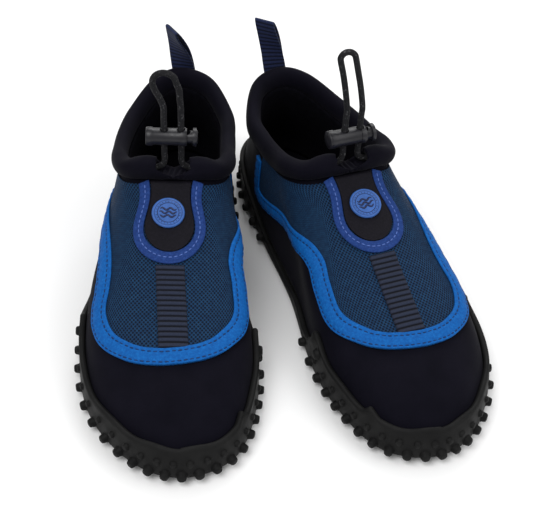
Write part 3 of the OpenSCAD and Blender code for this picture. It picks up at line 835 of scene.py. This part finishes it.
BAND_PROFILE = [(-0.97, 0), (-1, 0.35), (-0.98, 0.75), (-0.9, 0.98), (-0.68, 1.04), (-0.55, 0.80),
    (-0.42, 1.02), (-0.1, 1.14),
                (0.15, 1.16), (0.4, 1.12), (0.58, 1.02), (0.70, 0.80), (0.82, 1.0), (0.92, 0.96),
                (0.98, 0.75), (1, 0.35),
                (0.97, 0)]
TRIM_PROFILE = [(-0.97, 0), (-1, 0.4), (-0.97, 0.8), (-0.86, 1.0), (-0.5, 1.08), (-0.12, 1.05), (0.08, 0.8),
    (0.28, 1.05),
                (0.6, 1.06), (0.88, 0.98), (0.97, 0.8), (1, 0.4), (0.97, 0)]


def stitch_row(rail_low, rail_high, pitch, length, width, height):
    """Stitches along a rail on the surface: rail_high lies over rail_low and gives the way up."""
    run = np.concatenate([[0], np.cumsum(np.linalg.norm(np.diff(rail_low, axis=0), axis=1))])
    at = np.arange(pitch, run[-1] - pitch / 2, pitch)
    pick = lambda arr, s: np.stack([np.interp(s, run, arr[:, k]) for k in range(3)], 1)
    c, up = pick(rail_low, at), unit(pick(rail_high, at) - pick(rail_low, at))
    along = unit(pick(rail_low, at + 0.5) - pick(rail_low, at - 0.5))
    return blobs(c, along, np.cross(up, along), up, length, width, height)


def band_half(x):
    """Half width of the band, which narrows towards its two ends."""
    f = np.clip((np.minimum(x, BAND_END - x) - 3) / 8, 0, 1)
    return (BAND_WIDTH / 2 * (0.74 + 0.26 * f * f * (3 - 2 * f)))[:, None]


def band_trim(shoe):
    x = np.linspace(0.05, BAND_END - 0.05, 460)
    q, half = open_curve(BAND, x), band_half(x)
    puff = 1 + 0.10 * np.sin(x * 9.0)
    P = strip(lambda w, h: beside(q, w * half, 1.25 + (h - 1.25) * puff), 1.0, 1.25, 2.3, BAND_PROFILE)
    skirt = beside(q, half * 0.97, 0.35)
    P = np.concatenate([P, skirt[:, None]], 1)
    part = grid(P, close_j=True, cap_i=True)
    add(shoe, "band", part, MAT["azure"], stands_for=["band_trim"])
    rows = [stitch_row(beside(q, half * w, 2.15), beside(q, half * w, 3.0), 3.0, 2.1, 0.85, 0.5)
        for w in (-0.55, 0.70)]
    add(shoe, "band_stitching", join(*rows), MAT["dark_thread"])


def bow(y):
    """How much wider than PATCH_HALF the patch is: narrow near the collar, wide round the badge."""
    f = np.clip((4 - y) / 16, 0, 1)
    return -1.6 + 2.6 * f * f * (3 - 2 * f) + 0.7 * np.maximum((y - 4) / 7, 0) ** 2


def patch_half(s):
    end = np.sqrt(np.maximum(1 - ((s - 0.62) / 0.385) ** 2, 0.0009))
    return (PATCH_HALF + bow(PATCH_TOP - 3.5 - s * (PATCH_LENGTH - 3.5))) * np.where(s < 0.62, 1.0, end)


def badge_patch(shoe):
    s = 1 - (1 - np.linspace(0, 1, 40)) ** 1.6
    v = np.linspace(-1, 1, 33)
    x = PATCH_X + v[:, None] * patch_half(s)
    y = np.broadcast_to(PATCH_TOP - 3.5 - s * (PATCH_LENGTH - 3.5), x.shape)
    p = over(x, y, 0)
    outer, inner = over(x, y, 2.0 + 0.10 * ripple(p, 12, 31)), over(x, y, 1.35)
    part = grid(np.concatenate([outer, inner[:, ::-1]], 1), close_j=True, cap_i=True)
    add(shoe, "patch", part, MAT["patch"], stands_for=["badge_patch"])


def trim_line(a):
    """Plan centre line and half width of the U trim; a runs from 0 to 4, widest at the bottom."""
    q = np.clip(a - 1, 0, 2) * math.pi / 2
    half = PATCH_TRIM / 2 * (1 + 0.27 * np.sin(q) ** 2)
    bottom, top = PATCH_TOP - PATCH_LENGTH + PATCH_HALF + 0.9, PATCH_TOP - 3.5
    leg = np.minimum(np.minimum(a, 4 - a), 1)
    y = np.where(np.abs(a - 2) > 1, top + (bottom - top) * leg, bottom - (PATCH_HALF + 1.4 + half)
        * np.sin(q))
    return np.stack([PATCH_X - (PATCH_HALF + 0.5 + half + bow(y)) * np.cos(q), y], 1), half


def patch_trim(shoe):
    line, half = trim_line(np.linspace(0, 4, 200))
    along = unit(np.gradient(line, axis=0))
    rail = lambda w, h: over(line[:, 0] - along[:, 1] * w * half, line[:, 1] + along[:, 0] * w * half, h)
    P = strip(rail, 1.0, 1.35, 2.25, TRIM_PROFILE)
    add(shoe, "patch_trim", grid(P, close_j=True, cap_i=True), MAT["violet"], stands_for=["patch_trim"])
    row = stitch_row(rail(0.08, 2.1), rail(0.08, 3.0), 2.8, 2.0, 0.7, 0.45)
    add(shoe, "patch_stitching", row, MAT["pale_thread"])


def vamp_strap(shoe):
    """Webbing with 16 raised ribs across it and a plain selvage."""
    y0, y1 = -78.6, PATCH_TOP - PATCH_LENGTH - PATCH_TRIM - 2.6
    s = np.linspace(0, 1, 321)
    v = np.concatenate([[-1, -0.98], np.linspace(-0.94, 0.94, 17), [0.98, 1]])
    x = (3.6 * (1 - s))[:, None] + v * STRAP_WIDTH / 2
    y = np.broadcast_to((y0 + (y1 - y0) * s)[:, None], x.shape)
    rib = np.abs(np.sin(s * math.pi * 16)) ** 0.7
    full = np.clip((1 - np.abs(v)) * 14, 0, 1)
    h = 1.45 + full * (0.30 + 0.55 * rib[:, None])
    part = grid(np.concatenate([over(x, y, h), over(x, y, 1.35)[:, ::-1]], 1), close_j=True, cap_i=True,
        along=s * 16)
    part = (part[0], [f[::-1] for f in part[1]], [f[::-1] for f in part[2]])
    add(shoe, "vamp_strap", part, MAT["strap"], stands_for=["vamp_strap"])


def badge(shoe):
    """Round moulded badge: raised rim, inner ring and a plain motif of three waves."""
    u, t = uv_over(np.array([PATCH_X - 1.0]), np.array([-5.0]))
    n = normal(u, t)[0]
    x = unit(np.cross([0, 1.0, 0], n))
    y = np.cross(n, x)
    origin = off(u, t, 2.3)[0]
    r = BADGE / 2
    face = 1.15
    disc = lathe([(0, -0.1), (r - 0.6, -0.1), (r - 0.1, 0.2), (r, 0.7), (r - 0.25, 1.35), (r - 0.7, 1.55),
        (r - 1.15, 1.4),
                  (r - 1.35, 1.2), (r - 1.9, face), (0, face)], 96)
    add(shoe, "badge", moved(disc, origin, x, y, n), MAT["badge"], stands_for=["badge"])
    q = np.linspace(0, 2 * math.pi, 97)[:-1]
    lines = []
    for radius, thick in ((r - 1.35, 0.24), (r - 3.0, 0.18)):
        ring = np.array([[((radius + dx) * math.cos(a), (radius + dx) * math.sin(a), face + dz)
                          for dx, dz in ((-thick, 0), (0, 0.12), (thick, 0), (0, -0.1))] for a in q])
        lines.append(grid(ring, close_i=True, close_j=True))
    for k, lift in enumerate((2.0, 0.0, -2.0)):
        half = math.sqrt((r - 3.5) ** 2 - lift ** 2) * 0.92
        s = np.linspace(-half, half, 40)
        wave = np.stack([s, lift + 0.60 * np.sin(s * 1.5 + k), np.full(40, face + 0.02)], 1)
        lines.append(tube(wave, 0.52 * np.sqrt(np.maximum(1 - (s / half) ** 4, 0.03)), 8))
    for k in range(24):
        a = k * math.pi / 12
        c = np.array([[(r - 2.3) * math.cos(a), (r - 2.3) * math.sin(a), face + 0.02]])
        d = np.array([[math.cos(a), math.sin(a), 0]])
        lines.append(blobs(c, d, np.cross([[0, 0, 1.0]], d), np.array([[0, 0, 1.0]]), 0.8, 0.3, 0.25))
    add(shoe, "badge_motif", moved(join(*lines), origin, x, y, n), MAT["badge_line"])


# ------------------------------------------------------------------ collar
def collar(shoe):
    """Padded roll with the cord channel inside it.

    A V-shaped notch cuts its upper half at the front, and the fabric gathers towards it."""
    n, k = 420, 44
    q = np.arange(k) * 2 * math.pi / k
    low = np.clip((-np.sin(q) + 0.62) / 1.0, 0, 1)
    begin = NOTCH * (0.03 + 0.97 * low * low * (3 - 2 * low)) * (1 + 0.035 * np.sin(q * 9))
    f = np.linspace(0, 1, n)
    f = f - 0.8 * np.sin(2 * math.pi * f) / (2 * math.pi)
    U = begin + (16 - 2 * begin) * f[:, None]
    c, h = collar_line(U), topline_out(U)
    mouth = np.minimum(U - begin, 16 - begin - U) * 13.5
    front = np.minimum(U, 16 - U) * 13.5
    pinch = np.exp(-mouth / 4.0)
    a, b = COLLAR_WIDTH / 2, COLLAR_HEIGHT / 2
    soft = lambda v: np.sign(v) * np.abs(v) ** 0.92
    gather = 1 - 0.15 * pinch + 0.05 * np.sin(q * 7 + 1.0) * np.exp(-front / 9.0) + 0.03 * np.sin(q
        * 13) * np.exp(-front / 6.0)
    folds = 0.02 * np.sin(front / 1.15 + 2.0 * np.sin(q * 2)) * np.exp(-front / 10.0)
    section = h * ((a - slim(U)) * soft(np.cos(q)))[..., None] - np.array([0, 0, 1.0]) * (b
        * soft(np.sin(q)))[:, None]
    outer = c + section * (gather + folds)[..., None]
    dip = 2.3 * np.exp(-((np.minimum(U, 16 - U) - 2.3) / 0.9) ** 2) * np.clip(-np.sin(q), 0, 1)
    outer = outer - np.array([0, 0, 1.0]) * dip[..., None]
    outer = outer + h * (0.16 * ripple(outer, 26, 41) + 0.25 * ripple(outer, 6, 42)
        * np.exp(-front / 8.0))[..., None]
    line = np.linspace(NOTCH, 16 - NOTCH, n)
    inner = collar_line(line)[:, None] + topline_out(line)[:, None] * (2.5 * np.cos(q))[None, :, None] \
        - np.array([0, 0, 1.0]) * (2.5 * np.sin(q))[None, :, None]
    half = (outer[[0, -1]] * 0.4 + inner[[0, -1]] * 0.6) + ripple(outer[[0, -1]], 4, 43)[..., None] * [0, 0,
        0.3]
    P = np.array([inner[0], half[0]] + list(outer) + [half[1], inner[-1]] + list(inner[::-1][1:-1]))
    part = grid(P, close_i=True, close_j=True)
    part = (part[0], [f[::-1] for f in part[1]], [f[::-1] for f in part[2]])
    obj = add(shoe, "collar", part, MAT["neoprene"], stands_for=["collar"])
    seam_u = np.linspace(NOTCH + 0.15, 16 - NOTCH - 0.15, 500)
    low = collar_line(seam_u) + topline_out(seam_u) * (3.5 - slim(seam_u) * 0.66)[:, None] - np.array([0, 0,
        5.0])
    out = topline_out(seam_u) * 0.55 - np.array([0, 0, 0.83])
    add(shoe, "collar_seam", stitch_row(low, low + out, 3.4, 2.4, 0.55, 0.45), MAT["black_thread"])


def notch_gusset(shoe):
    """Crumpled fabric in the floor of the notch, under the cord."""
    e = NOTCH - 0.04
    u = np.linspace(e, -e, 120)
    c, h = collar_line(u), topline_out(u)
    low = math.asin(2.9 * 2 / COLLAR_HEIGHT)
    q = math.pi + low + (math.pi - 2 * low) * np.linspace(0, 1, 22)
    x = np.concatenate([np.cos(q), np.linspace(math.cos(q[-1]), math.cos(q[0]), 14)[1:-1]])
    z = np.concatenate([np.sin(q), np.full(12, -math.sin(low))])
    pleat = np.sin(u[:, None] * 30 + 2.2 * x) * 0.35
    top = np.concatenate([np.zeros(22), np.sin(np.linspace(0, math.pi, 14))[1:-1]])
    P = c[:, None] + h[:, None] * (COLLAR_WIDTH / 2 * 0.94 * x)[None, :, None] \
        + np.array([0, 0, 1.0]) * (COLLAR_HEIGHT / 2 * 0.95 * z + pleat * top * 1.4 - 0.5 * top)[..., None]
    P = P + h[:, None] * (0.35 * np.sin(u[:, None] * 30 + 1.0) * (np.abs(x) > 0.6))[..., None]
    part = grid(P, close_j=True, cap_i=True)
    add(shoe, "notch_gusset", part, MAT["neoprene"], stands_for=["notch_gusset"])


# ------------------------------------------------------------------ cord and lock
MOUTH = collar_line(np.array(0.0))
LOCK_Y = MOUTH[1] + 0.5


def lock_height(side):
    return MOUTH[2] + COLLAR_HEIGHT / 2 + LOCK_DIAMETER / 2 + LOCK_GAP[side]


def loop_points(side):
    """Route of the cord outside the collar: out of the notch, straight past the lock's travel, over, back."""
    y, z, e, height, lean = LOCK_Y, lock_height(side), MOUTH[2], LOOP_HEIGHT[side], LOOP_LEAN[side]
    r = LOOP_RADIUS[side]
    out, centre = r - LEG, z + height - CORD / 2 - r
    straight = z + LOCK_TRAVEL + LOCK_DIAMETER / 2 + 0.5
    climb = centre - straight
    rise = [(3.6, e + 0.3, 0), (1.1, e + 1.7, 0), (0, e + 4.6, 0), (0, e + 9, 0), (0, z, 0),
        (0, z + LOCK_TRAVEL, 0),
            (0, straight, 0), (0.35 * out, straight + 0.35 * climb, 0.25), (1.05 * out, straight + 0.7
            * climb, 0.58),
            (out, centre, 0.90)]
    rise += [(r * math.cos(a) - LEG, centre + r * math.sin(a), 0.90 + 0.10 * math.sin(a))
        for a in (math.pi / 6, math.pi / 3)]
    up = [(-LEG - w + lean * share, y, z1) for w, z1, share in rise]
    down = [(LEG + w + lean * share, y, z1) for w, z1, share in rise[::-1]]
    return up + [(lean, y, z + height - CORD / 2)] + down


def cord(shoe):
    inside = collar_line(np.linspace(16 - NOTCH - 1.3, 16 - NOTCH - 0.02, 8))
    other = collar_line(np.linspace(NOTCH + 0.02, NOTCH + 1.3, 8))
    route = np.concatenate([inside, np.array(loop_points(shoe.side)), other])
    path = resample(route, 0.5)
    part = tube(path, CORD / 2, 18)
    obj = add(shoe, "cord", part, MAT["cord"], stands_for=["cord"])
    run = shoe.points(path)
    hidden = collar_line(np.linspace(NOTCH + 1.35, 16 - NOTCH - 1.35, 240))
    add(shoe, "cord_in_channel", tube(hidden, CORD / 2, 12), MAT["cord"])


def from_cad(shoe, node, material, body, bevel=0.25):
    """The CAD solid's own mesh with its edges rounded over."""
    mesh = frame["nodes"][f"{shoe.side}_{node}"].data.copy()
    mesh.materials.clear()
    mesh.materials.append(material)
    obj = bpy.data.objects.new(shoe.name(node), mesh)
    bpy.context.scene.collection.objects.link(obj)
    weld = obj.modifiers.new("weld", "WELD")
    weld.merge_threshold = 1e-6
    edge = obj.modifiers.new("bevel", "BEVEL")
    edge.width = bevel * MM
    edge.segments = 3
    edge.limit_method = "ANGLE"
    edge.angle_limit = math.radians(40)
    bpy.context.view_layer.update()
    done = bpy.data.meshes.new_from_object(obj.evaluated_get(bpy.context.evaluated_depsgraph_get()))
    obj.modifiers.clear()
    obj.data = done
    done.polygons.foreach_set("use_smooth", [True] * len(done.polygons))
    done.set_sharp_from_angle(angle=math.radians(38))
    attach(obj, shoe.body(body))
    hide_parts(f"{shoe.side}_{node}")
    return obj


def cord_lock(shoe):
    from_cad(shoe, "lock_barrel", MAT["lock"], "cord_lock")
    from_cad(shoe, "lock_plunger", MAT["lock"], "lock_button", 0.2)
    turned = -1.0 if shoe.mirror else 1.0
    x, y, z = np.array([0, 1.0, 0]), np.array([0, 0, turned]), np.array([turned, 0, 0])
    height = lock_height(shoe.side)
    dome = lathe([(0, -0.4), (3.7, -0.4), (3.7, 0.15), (3.3, 0.42), (2.4, 0.58), (1.2, 0.64), (0, 0.66)], 48)
    add(shoe, "button_dome", moved(dome, (BUTTON_FACE * turned, LOCK_Y, height), x, y, z), MAT["lock"],
        "lock_button")
    rib = lathe([(0, -0.45), (4.55, -0.45), (4.72, -0.3), (4.72, 0.3), (4.55, 0.45), (0, 0.45)], 48)
    add(shoe, "lock_end_cap", moved(rib, (CLOSED_END * turned, LOCK_Y, height), x, y, z), MAT["lock"],
        "cord_lock")


def lock_spring(shoe):
    """Steel coil between the closed end of the barrel and the stem, taken from the CAD in one shape; on the lock
    it shortens as the button goes in.
    """
    obj = from_cad(shoe, "lock_spring", MAT["steel"], "cord_lock", 0.02)
    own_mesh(obj)


# ------------------------------------------------------------------ heel loop
def pull_loop(shoe):
    """Folded ribbed webbing, sewn at its foot, leaning a little and twisted towards its tip."""
    width, long = PULL_LOOP_WIDTH, PULL_LOOP_LENGTH
    forward, aside, twist, taper, sag, start = (8.5, 7.0, 60, 0.10, 4.0, 2.0) if shoe.side == "right" \
        else (0.0, 8.0, 45, 0.15, 1.5, 0.0)
    y0 = surface(8.0, 1.0)[1] - COLLAR_INSET + COLLAR_WIDTH / 2 + 1
    z0 = surface(8.0, 1.0)[2] + 3
    line = [(0.65, 0), (0.7, 0.2), (0.55, 0.5), (0.25, 0.74), (0.5, 0.87), (1.6, 0.955), (3.4, 0.985),
        (5.3, 0.965), (7.2, 0.885),
            (8.0, 0.72), (6.75, 0.5), (3.0, 0.21), (1.95, 0.10), (1.95, 0)]
    fold = lambda a, b: y0 + 3.4 + (a - 3.4) * (1 - 0.60 * min(b * 2.5, 1))
    run = resample([(fold(a, b), z0 + b * long) for a, b in line], 0.25)
    T = unit(np.gradient(run, axis=0))
    N = np.stack([-T[:, 1], T[:, 0]], 1)
    s = np.concatenate([[0], np.cumsum(np.linalg.norm(np.diff(run, axis=0), axis=1))])
    v = np.concatenate([[-1, -0.97], np.linspace(-0.92, 0.92, 15), [0.97, 1]])
    rib = np.abs(np.sin(s * math.pi / 2.6)) ** 0.8
    full = np.clip((1 - np.abs(v)) * 12, 0, 1)
    half = 0.42 + 0.22 * rib[:, None] * full
    sheet = lambda sign: np.stack([np.broadcast_to(v * width / 2, (len(run), len(v))),
                                   run[:, :1] + N[:, :1] * half * sign, run[:, 1:] + N[:, 1:] * half
                                   * sign], 2)
    P = np.concatenate([sheet(1), sheet(-1)[:, ::-1]], 1)
    way = 1 if shoe.mirror else -1
    high = np.clip((P[..., 2] - z0) / long, 0, 1)
    turn = math.radians(twist) * high * high * (3 - 2 * high) * way
    x, y = P[..., 0] * (1 - taper * high), P[..., 1] - y0 - 3.4
    P = np.stack([x * np.cos(turn) - y * np.sin(turn) + way * aside * high ** 1.5 + start,
                  x * np.sin(turn) + y * np.cos(turn) + y0 + 3.4 - forward * high ** 1.6,
                  P[..., 2] - sag * high ** 2], 2)
    part = grid(P, close_j=True, cap_i=True, along=s / 2.6)
    add(shoe, "pull_loop", part, MAT["loop"], "heel_loop", ["pull_loop"])


def hidden_parts(shoe):
    board = frame["nodes"][f"{shoe.side}_strobel_board"]
    board.data.materials.clear()
    board.data.materials.append(MAT["board"])


# ------------------------------------------------------------------ stage
def studio():
    """Camera at the photograph's height and angle, pale floor, soft light from above and in front."""
    scene = bpy.context.scene
    pitch, yaw, roll = (math.radians(a) for a in (40.8, 3.53, 3.31))
    forward = np.array([math.sin(yaw) * math.cos(pitch), math.cos(yaw) * math.cos(pitch), -math.sin(pitch)])
    right = unit(np.cross(forward, [0, 0, 1]))
    up = np.cross(right, forward)
    r = math.cos(roll) * right + math.sin(roll) * up
    v = -math.sin(roll) * right + math.cos(roll) * up
    matrix = Matrix([(r[k], v[k], -forward[k], 0) for k in range(3)] + [(0, 0, 0, 1)])
    matrix.translation = Vector((-0.0326, -0.4674, 0.4310))
    data = bpy.data.cameras.new("camera")
    data.sensor_width = 36
    data.lens = 74.8
    data.clip_start = 0.01
    camera = bpy.data.objects.new("camera", data)
    camera.matrix_world = matrix
    scene.collection.objects.link(camera)
    scene.camera = camera

    size = 6.0
    mesh = bpy.data.meshes.new("floor")
    mesh.from_pydata([(-size, -size, 0), (size, -size, 0), (size, size, 0), (-size, size, 0)], [],
        [(0, 1, 2, 3)])
    mesh.materials.append(floor_material())
    floor = bpy.data.objects.new("floor", mesh)
    scene.collection.objects.link(floor)

    world = bpy.data.worlds.new("studio")
    world.use_nodes = True
    world.node_tree.nodes["Background"].inputs[0].default_value = (1, 1, 1, 1)
    world.node_tree.nodes["Background"].inputs[1].default_value = 0.60
    scene.world = world
    for name, place, power, wide in (("key", (-0.5, -0.6, 1.3), 12, 0.9), ("fill", (0.9, -0.3, 0.9), 5, 1.0),
                                     ("back", (0.1, 1.0, 1.0), 7, 0.8)):
        light = bpy.data.lights.new(name, "AREA")
        light.energy = power
        light.size = wide
        obj = bpy.data.objects.new(name, light)
        obj.location = place
        obj.rotation_euler = (Vector((0, 0, 0.03)) - Vector(place)).to_track_quat("-Z", "Y").to_euler()
        scene.collection.objects.link(obj)
    scene.view_settings.view_transform = "Standard"


studio()
for side in ("right", "left"):
    one = Shoe(side)
    cord(one)
    outsole(one)
    insole(one)
    upper_shell(one)
    lining(one)
    mesh_panel(one)
    band_trim(one)
    badge_patch(one)
    patch_trim(one)
    vamp_strap(one)
    badge(one)
    collar(one)
    notch_gusset(one)
    cord_lock(one)
    lock_spring(one)
    pull_loop(one)
    hidden_parts(one)
